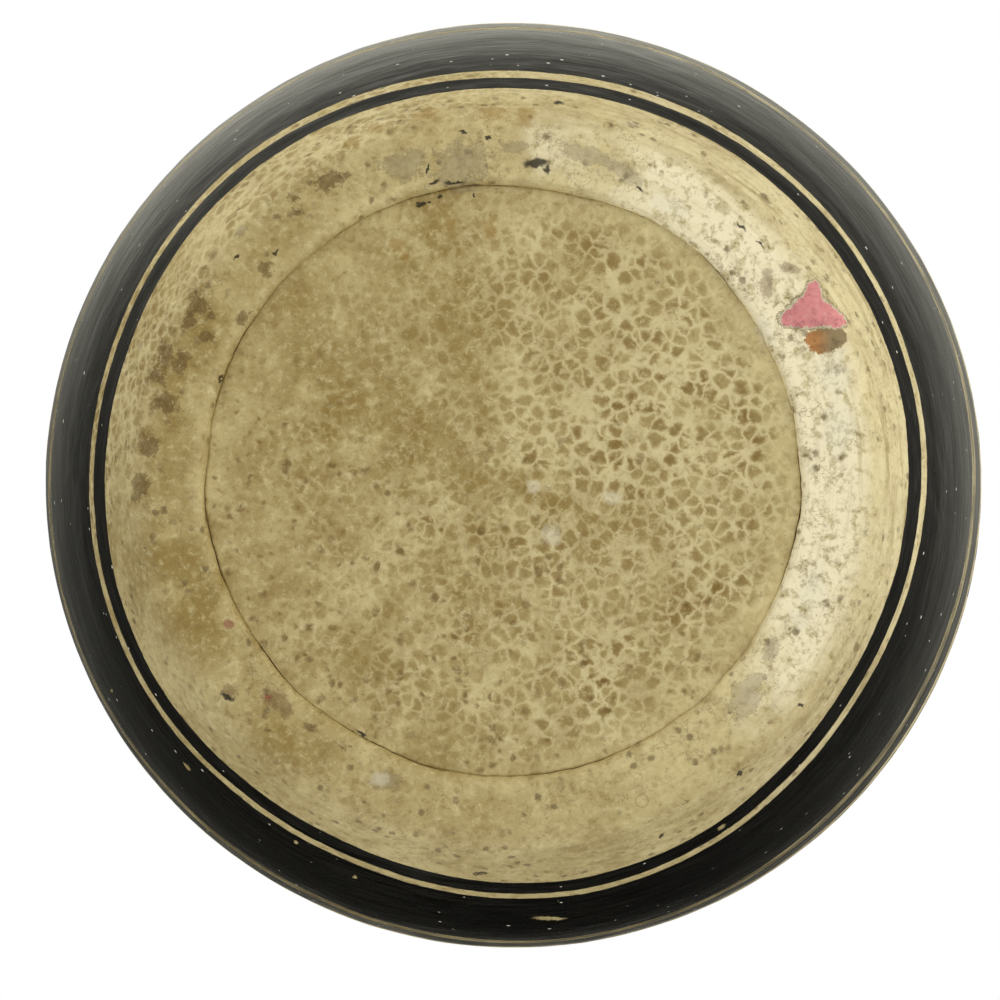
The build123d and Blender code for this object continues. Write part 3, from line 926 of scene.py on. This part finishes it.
kept = add("Math", [line_start, bare], operation="SUBTRACT", use_clamp=True)
bands = add("Math", [bands, kept], operation="MULTIPLY")
washed = add("TexNoise", {"Vector": around(add, place, 1.0, 6.0), "Scale": 1.0, "Detail": 3.0})
washed = add("MapRange", [washed, 0.35, 0.65, 0.25, 0.85])
washed = add("Math", [washed, stripes(add, level, [washed_line], 0.3)], operation="MULTIPLY")
bands = add("Math", [bands, washed], operation="MAXIMUM")
chips = fine_marks(add, bent_by_hand(add, place, 0.25, 0.6), cream_chips, False)
bands = add("Math", [bands, add("Math", [1.0, chips], operation="SUBTRACT")], operation="MULTIPLY")
squares = chequered(add, bent_by_hand(add, place, 0.2, 4.0), level, chequer, chequer_rows, chequer_count)
bands = add("Math", [bands, squares], operation="MAXIMUM")
end_material(add, *painted(add, ground, gloss, bands, 0.04))

# %% Bare clay
clay_finish, add, place = start_material("bare_fired_clay")
grog = add("TexNoise", {"Vector": place, "Scale": 1 / 0.6, "Detail": 5.0, "Roughness": 0.7})
burnt = add("TexNoise", {"Vector": place, "Scale": 1 / 18.0, "Detail": 3.0})
colour = tinted(add, srgb("#C07B68"), [(add("MapRange", [burnt, 0.4, 0.7, 0.0, 0.5]), "#A3624E"),
                                       (add("MapRange", [grog, 0.5, 0.8, 0.0, 0.6]), "#DDA592")])
end_material(add, colour, add("MapRange", [grog, 0.3, 0.7, 0.7, 0.9]),
             add("Math", [grog, 0.12], operation="MULTIPLY"))

# %% [markdown]
# ## Lower body
# The thrown bowl with its standing ring. Rows lie close together on the foot and the lower
# wall, which the photograph shows, and further apart inside.

# %% Lower body shape
around_steps = 640
ring_edge = 1.0
lap_radius = belly_radius - wall / 2
seat_radius = flange_radius + 0.15


def inner_wall(start_level, end_level, pitch):
    """The inside of the wall, from one level to another."""
    points = []
    for _, level in straight((0, start_level), (0, end_level), pitch):
        centre, bend = (low_centre, low_arc) if level < belly_level else (high_centre, high_arc)
        points.append((centre + sqrt((bend - wall) ** 2 - (belly_level - level) ** 2), level))
    return points


tangent_level = belly_level + high_arc * sin(radians(hollow_turn))
lower_path = joined(
    arc((floor_edge + ring_edge, ring_edge), ring_edge, 180, 270, 0.3),
    straight((floor_edge + ring_edge, 0), (ring_radius, 0), 0.4),
    arc((ring_radius, foot_rounding), foot_rounding, -90, -foot_turn, 0.4),
    arc((low_centre, belly_level), low_arc, -foot_turn, -20, 0.45),
    arc((low_centre, belly_level), low_arc, -20, 0, 1.2),
    straight((lap_radius, belly_level), (lap_radius, lap_level), 3.0),
    inner_wall(lap_level, floor_top, 5.0),
    straight((seat_radius, floor_top), (seat_radius, flange_level), 3.0),
    straight((seat_radius, flange_level), (floor_edge, flange_level), 5.0),
    straight((floor_edge, flange_level), (floor_edge, ring_edge + 0.4), 1.5),
)
bm = spun(lower_path, around_steps)
bare_inside(bm)
uneven(bm)
lower_body = finish_piece(bm, "painted_lower_body", "cream_slip", lower_finish, clay_finish)
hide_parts("lower_body", "foot_line_coat", "lower_band_coat", "belly_band_coat")
write_marks(lower_body)

# %% [markdown]
# ## Painted ornament
# The photograph shows only the foot, so what is painted higher up is a guess in the old
# Corinthian manner that the jar follows: rows of rosettes, dots, a chequer and tongues, in
# black gloss and purple-red. All of them repeat round the jar, so each is drawn
# once in a strip of its own and the bearing round the axis is folded into that strip.

# %% Ornament
def polar(add, across, up):
    """Distance and bearing of a point in a strip."""
    reach = add("VectorMath", [add("CombineXYZ", [across, up, 0.0])], operation="LENGTH", result="Value")
    return reach, add("Math", [up, across], operation="ARCTAN2")


def rosette(add, across, up, radius, petals):
    """Masks of a rosette: its black petals, its purple petals and its black heart."""
    reach, bearing = polar(add, across, up)
    share = add("Math", [bearing, petals / (2 * pi)], operation="MULTIPLY")
    number = add("Math", [share], operation="FLOOR")
    within = add("Math", [add("Math", [share, number], operation="SUBTRACT"), 0.5], operation="SUBTRACT")
    side = add("Math", [within], operation="ABSOLUTE")
    tip = add("Math", [add("Math", [side, side], operation="MULTIPLY"), -1.5 * radius, radius],
              operation="MULTIPLY_ADD")
    past_tip = add("Math", [reach, tip], operation="SUBTRACT")
    petal = add("MapRange", [past_tip, 0.15, -0.15], interpolation_type="SMOOTHSTEP")
    outside_heart = add("MapRange", [reach, 0.30 * radius, 0.33 * radius], interpolation_type="SMOOTHSTEP")
    gap = add("Math", [reach, 2 * pi / petals], operation="MULTIPLY")
    gap = add("Math", [add("Math", [0.5, side], operation="SUBTRACT"), gap], operation="MULTIPLY")
    apart = add("MapRange", [gap, 0.18, 0.42], interpolation_type="SMOOTHSTEP")
    for factor in (outside_heart, apart):
        petal = add("Math", [petal, factor], operation="MULTIPLY")
    purple = add("Math", [petal, odd(add, number)], operation="MULTIPLY")
    heart = add("MapRange", [reach, 0.24 * radius, 0.21 * radius], interpolation_type="SMOOTHSTEP")
    return petal, purple, heart


def dot_ring(add, across, up, radius, dots, size):
    """A mask of a dot with a ring of dots round it."""
    reach, bearing = polar(add, across, up)
    share = add("Math", [add("Math", [bearing, dots / (2 * pi)], operation="MULTIPLY")], operation="FRACT")
    turn = add("Math", [add("Math", [share, 0.5], operation="SUBTRACT"), 2 * pi / dots], operation="MULTIPLY")
    along = add("Math", [add("Math", [turn], operation="COSINE"), reach], operation="MULTIPLY")
    along = add("Math", [along, radius], operation="SUBTRACT")
    aside = add("Math", [add("Math", [turn], operation="SINE"), reach], operation="MULTIPLY")
    to_dot = add("VectorMath", [add("CombineXYZ", [along, aside, 0.0])], operation="LENGTH", result="Value")
    nearest = add("Math", [to_dot, reach], operation="MINIMUM")
    return add("MapRange", [nearest, size + 0.12, size - 0.12], interpolation_type="SMOOTHSTEP")


def tongues(add, place, count, low, high, reach):
    """Masks of tongues that hang round a shoulder: all of them, and every other one."""
    within, number = folded(add, place, count, 0.0)
    across = add("Math", [within, add("Math", [reach, 2 * pi / count], operation="MULTIPLY")], operation="MULTIPLY")
    half = add("Math", [reach, 0.36 * 2 * pi / count], operation="MULTIPLY")
    level = add("SeparateXYZ", [place], result=2)
    below = add("Math", [add("Math", [level, half], operation="SUBTRACT"), low], operation="SUBTRACT")
    below = add("Math", [below, 0.0], operation="MINIMUM")
    to_spine = add("VectorMath", [add("CombineXYZ", [across, below, 0.0])], operation="LENGTH", result="Value")
    inside = add("MapRange", [add("Math", [half, to_spine], operation="SUBTRACT"), -0.12, 0.12],
                 interpolation_type="SMOOTHSTEP")
    inside = add("Math", [inside, stripes(add, level, [(low, high)], 0.1)], operation="MULTIPLY")
    return inside, add("Math", [inside, odd(add, number)], operation="MULTIPLY")


def purple_red(add, place):
    """Colour, roughness and height of the matt purple-red that is laid over the black."""
    cloud = add("TexNoise", {"Vector": place, "Scale": 1 / 1.8, "Detail": 4.0})
    colour = tinted(add, srgb("#5E2420"), [(add("MapRange", [cloud, 0.4, 0.7, 0.0, 0.7]), "#7A3A30")])
    return colour, add("MapRange", [cloud, 0.3, 0.7, 0.5, 0.7]), add("Math", [cloud, 0.05], operation="MULTIPLY")


# %% Upper wall finish
frieze_middle = 87.0
rosette_count = 8
rosette_radius = 15.5
filler_levels = (69.5, 104.5)
upper_lines = [(63.0, 64.0), (113.0, 114.2), (115.4, 116.4), (127.6, 128.6),
               (162.0, 163.0), (164.2, 165.4)]
upper_band = (118.0, 126.0)
upper_finish, add, place = start_material("aged_slip_and_gloss_upper_wall")
gloss = black_gloss(add, place)
red = purple_red(add, place)
drawn = bent_by_hand(add, place, 0.25, 5.0)
level = hand_level(add, drawn, ((2, 0.25, 0.1), (5, 0.1, 0.15)), 0.12)
reach = add("VectorMath", [add("VectorMath", [place, (1.0, 1.0, 0.0)], operation="MULTIPLY")], operation="LENGTH",
            result="Value")
ground = cream_slip(add, place, None, 0.30, 0.12, 0.45)

black = stripes(add, level, [*upper_lines, upper_band], 0.09)
within, number = folded(add, drawn, rosette_count, 0.0)
share = 2 * pi * belly_radius / rosette_count
across = add("Math", [within, share], operation="MULTIPLY")
up_from_middle = add("Math", [level, frieze_middle], operation="SUBTRACT")
petal, purple, heart = rosette(add, across, up_from_middle, rosette_radius, 12)
black = add("Math", [add("Math", [black, petal], operation="MAXIMUM"), heart], operation="MAXIMUM")
within, number = folded(add, drawn, rosette_count, 0.5)
across = add("Math", [within, share], operation="MULTIPLY")
for filler_level in filler_levels:
    up_from_filler = add("Math", [level, filler_level], operation="SUBTRACT")
    black = add("Math", [black, dot_ring(add, across, up_from_filler, 3.6, 8, 1.05)], operation="MAXIMUM")
black = add("Math", [black, dot_ring(add, across, up_from_middle, 2.6, 6, 0.8)], operation="MAXIMUM")
hanging, red_hanging = tongues(add, drawn, 24, 131.0, 160.0, reach)
black = add("Math", [black, hanging], operation="MAXIMUM")
red_mask = add("Math", [purple, red_hanging], operation="MAXIMUM")
red_mask = add("Math", [red_mask, stripes(add, level, [(120.6, 123.4)], 0.08)], operation="MAXIMUM")
finish = painted(add, ground, gloss, black, 0.04)
end_material(add, *painted(add, finish, red, red_mask, 0.02))

# %% [markdown]
# ## Upper body
# The second bowl, luted on upside down at the widest level and closed in to the neck.

# %% Upper body shape
spigot_radius = 10.15
upper_pitch = 1.1
upper_path = joined(
    arc((high_centre, belly_level), high_arc, 0, hollow_turn, upper_pitch),
    arc((hollow_centre, body_top), neck_hollow, 180 + hollow_turn, 180, upper_pitch),
    [(spigot_radius, body_top), (spigot_radius, spigot_level)],
    inner_wall(spigot_level - 9.0, lap_level, 5.0),
    [(lap_radius, lap_level), (lap_radius, belly_level)],
)
bm = spun(upper_path, around_steps)
bare_inside(bm)
uneven(bm)
upper_body = finish_piece(bm, "painted_upper_body", "cream_slip", upper_finish, clay_finish)
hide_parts("upper_body", "shoulder_band_coat")

# %% [markdown]
# ## Neck
# A short thrown ring, luted on with a spigot. Three painted lines and a band run round it.

# %% Neck finish
neck_finish, add, place = start_material("aged_slip_and_gloss_neck")
level = hand_level(add, place, ((2, 0.1, 0.1),), 0.1)
ground = cream_slip(add, place, None, 0.35, 0.15, 0.45)
black = stripes(add, level, [(182.0, 182.8), (184.2, 188.6), (190.0, 190.8)], 0.08)
finish = painted(add, ground, black_gloss(add, place), black, 0.04)
end_material(add, *painted(add, finish, purple_red(add, place), stripes(add, level, [(185.7, 187.1)], 0.08), 0.02))

# %% Neck shape
small_steps = 320
bore_radius = 7.0
neck_path = joined(
    straight((neck_radius, body_top), (neck_radius, plate_level + 2.5), 0.5),
    straight((neck_radius, plate_level + 2.5), (bore_radius, plate_level + 2.5), 2.0),
    straight((bore_radius, plate_level + 2.5), (bore_radius, spigot_level), 1.5),
    straight((bore_radius, spigot_level), (spigot_radius - 0.15, spigot_level), 2.0),
    straight((spigot_radius - 0.15, spigot_level), (spigot_radius - 0.15, body_top), 2.0),
    straight((spigot_radius - 0.15, body_top), (neck_radius, body_top), 2.0),
)
bm = spun(neck_path, small_steps)
uneven(bm)
neck = finish_piece(bm, "painted_neck", "cream_slip", neck_finish)
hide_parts("neck")

# %% [markdown]
# ## Mouth plate
# The broad flat mouth that let oil be spread on the skin. Rays run out from the bore, as on
# the old jars, with lines round them and dots on the rim.

# %% Mouth plate finish
ray_count = 18
rim_dots = 30
plate_finish, add, place = start_material("aged_slip_and_gloss_mouth")
drawn = bent_by_hand(add, place, 0.12, 2.5)
reach = add("VectorMath", [add("VectorMath", [drawn, (1.0, 1.0, 0.0)], operation="MULTIPLY")], operation="LENGTH",
            result="Value")
level = add("SeparateXYZ", [drawn], result=2)
on_top = add("MapRange", [level, plate_level + 6.6, plate_level + 6.8])
under = add("MapRange", [level, plate_level + 1.9, plate_level + 1.6])
within, number = folded(add, drawn, ray_count, 0.0)
half = add("MapRange", [reach, 9.5, 19.0, 0.38, 0.02])
aside = add("Math", [within], operation="ABSOLUTE")
rays = add("MapRange", [add("Math", [half, aside], operation="SUBTRACT"), -0.015, 0.015],
           interpolation_type="SMOOTHSTEP")
rays = add("Math", [rays, stripes(add, reach, [(9.5, 19.0)], 0.08)], operation="MULTIPLY")
top_black = add("Math", [rays, stripes(add, reach, [(0.0, 8.9), (20.3, 21.1), (22.3, 24.6)], 0.08)], operation="MAXIMUM")
top_black = add("Math", [top_black, on_top], operation="MULTIPLY")
within, number = folded(add, drawn, rim_dots, 0.0)
along = add("Math", [within, 2 * pi * plate_radius / rim_dots], operation="MULTIPLY")
up_from_dot = add("Math", [level, plate_level + 4.4], operation="SUBTRACT")
to_dot = add("VectorMath", [add("CombineXYZ", [along, up_from_dot, 0.0])], operation="LENGTH", result="Value")
dots = add("MapRange", [to_dot, 1.45, 1.2], interpolation_type="SMOOTHSTEP")
outside = add("MapRange", [reach, plate_radius - 3.0, plate_radius - 2.8])
dots = add("Math", [dots, outside], operation="MULTIPLY")
black = add("Math", [add("Math", [top_black, dots], operation="MAXIMUM"), under], operation="MAXIMUM")
ground = cream_slip(add, place, None, 0.3, 0.1, 0.5)
end_material(add, *painted(add, ground, black_gloss(add, place), black, 0.04))

# %% Mouth plate shape
socket_radius = neck_radius + 0.15
socket_top = plate_level + 2.5
plate_path = joined(
    straight((socket_radius, plate_level), (25.7, plate_level + 1.31), 0.6),
    arc((plate_radius - 2.0, plate_level + 3.30), 2.0, -84, 0, 0.4),
    arc((plate_radius - 2.0, mouth_level - 2.0), 2.0, 0, 90, 0.4),
    straight((plate_radius - 2.0, mouth_level), (plate_radius - 6.0, mouth_level), 0.5),
    straight((plate_radius - 6.0, mouth_level), (bore_radius + 1.12, mouth_level - 0.92), 0.5),
    arc((bore_radius + 1.2, mouth_level - 2.12), 1.2, 94, 180, 0.3),
    straight((bore_radius, mouth_level - 2.12), (bore_radius, socket_top), 1.0),
    straight((bore_radius, socket_top), (socket_radius, socket_top), 2.0),
    straight((socket_radius, socket_top), (socket_radius, plate_level), 1.0),
)
bm = spun(plate_path, small_steps)
uneven(bm)
for vertex in bm.verts:
    vertex.co.z = min(vertex.co.z, mouth_level)
    reach_now = hypot(vertex.co.x, vertex.co.y)
    if reach_now > plate_radius:
        vertex.co.xy *= plate_radius / reach_now
mouth_plate = finish_piece(bm, "painted_mouth_plate", "cream_slip", plate_finish)
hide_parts("mouth_plate")

# %% [markdown]
# ## Handle
# A flat strap from the mouth plate to the shoulder. It is painted black, with a ladder of bare
# bars down its back.

# %% Handle finish
handle_finish, add, place = start_material("aged_slip_and_gloss_handle")
drawn = bent_by_hand(add, place, 0.15, 2.5)
aside, level = (add("SeparateXYZ", [drawn], result=i) for i in (0, 2))
aside = add("Math", [aside], operation="ABSOLUTE")
bar = add("Math", [add("Math", [level, 1 / 3.6], operation="MULTIPLY")], operation="FRACT")
bar = stripes(add, bar, [(0.3, 0.78)], 0.03)
middle = add("MapRange", [aside, 4.3, 4.1])
edge = add("MapRange", [aside, 4.9, 5.1])
black = add("Math", [add("Math", [bar, middle], operation="MULTIPLY"), edge], operation="MAXIMUM")
ground = cream_slip(add, place, None, 0.35, 0.15, 0.4)
end_material(add, *painted(add, ground, black_gloss(add, place), black, 0.04))

# %% [markdown]
# The strap was rolled flat, bent, and pressed on at both ends. A grid is wrapped round a
# rounded section that follows an arc, and each line of the grid starts where it leaves the
# mouth plate and ends where it meets the shoulder, so the joints follow both surfaces.

# %% Handle shape
strap_top = Vector((0, plate_radius - 3.6, plate_level + 3.5))
foot_level = body_top - 24.0
strap_foot = Vector((0, wall_radius(foot_level) - 3.5, foot_level))
strap_bulge = 3.0
strap_width = 12.0
root_width = 15.6
strap_thickness = 5.5
corner = 0.42
rim_rounding = 2.0

half_chord = (strap_foot - strap_top).length / 2
upward = (strap_top - strap_foot).normalized()
outward = Vector((0, upward.z, -upward.y))
bend = (half_chord ** 2 + strap_bulge ** 2) / (2 * strap_bulge)
bend_centre = (strap_top + strap_foot) / 2 - outward * (bend - strap_bulge)
half_turn = asin(half_chord / bend)


def on_strap(share, along):
    """A point of the strap, from its share of the way round and how far down it lies."""
    turn = half_turn * (1 - 2 * along)
    out = outward * cos(turn) + upward * sin(turn)
    width = strap_width + (root_width - strap_width) * (2 * along - 1) ** 2
    side, face = cos(2 * pi * share), sin(2 * pi * share)
    side = width / 2 * abs(side) ** corner * (1 if side > 0 else -1)
    face = strap_thickness / 2 * abs(face) ** corner * (1 if face > 0 else -1)
    spot = bend_centre + out * (bend + face) + Vector((side, 0, 0))
    thumbed = ease(along, 0.02, 0.2) * (1 - ease(along, 0.8, 0.98))
    inwards = bend_centre + out * bend - spot
    return spot + inwards * thumbed * (0.05 + 0.05 * noise.noise(spot / 5.0) + 0.02 * noise.noise(spot / 1.6))


def in_plate(spot):
    """Whether a point lies inside the mouth plate."""
    reach = hypot(spot.x, spot.y)
    inset = min(reach, plate_radius - rim_rounding)
    under = plate_level + rim_rounding + 0.105 * (inset - socket_radius)
    over = mouth_level - rim_rounding
    return hypot(reach - inset, max(0.0, spot.z - over, under - spot.z)) < rim_rounding


def in_body(spot):
    """Whether a point lies inside the shoulder."""
    return spot.z < 168 and hypot(spot.x, spot.y) < wall_radius(spot.z)


def leaves(share, inside, hidden, bare):
    """How far down a line of the strap leaves what its end is pressed onto."""
    for _ in range(24):
        middle = (hidden + bare) / 2
        if inside(on_strap(share, middle)):
            hidden = middle
        else:
            bare = middle
    return bare


bm = bmesh.new()
bmesh.ops.create_grid(bm, x_segments=96, y_segments=110, size=0.5)
for vertex in bm.verts:
    share = vertex.co.x + 0.5
    start = leaves(share, in_plate, -0.05, 0.5)
    end = leaves(share, in_body, 1.08, 0.5)
    vertex.co = on_strap(share, start + (end - start) * (vertex.co.y + 0.5))
bmesh.ops.remove_doubles(bm, verts=bm.verts, dist=1e-4)
bmesh.ops.holes_fill(bm, edges=[e for e in bm.edges if e.is_boundary], sides=0)
bmesh.ops.recalc_face_normals(bm, faces=bm.faces)
handle = finish_piece(bm, "painted_handle", "cream_slip", handle_finish)
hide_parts("handle")

# %% Colour view
bpy.context.scene.view_settings.view_transform = "Standard"
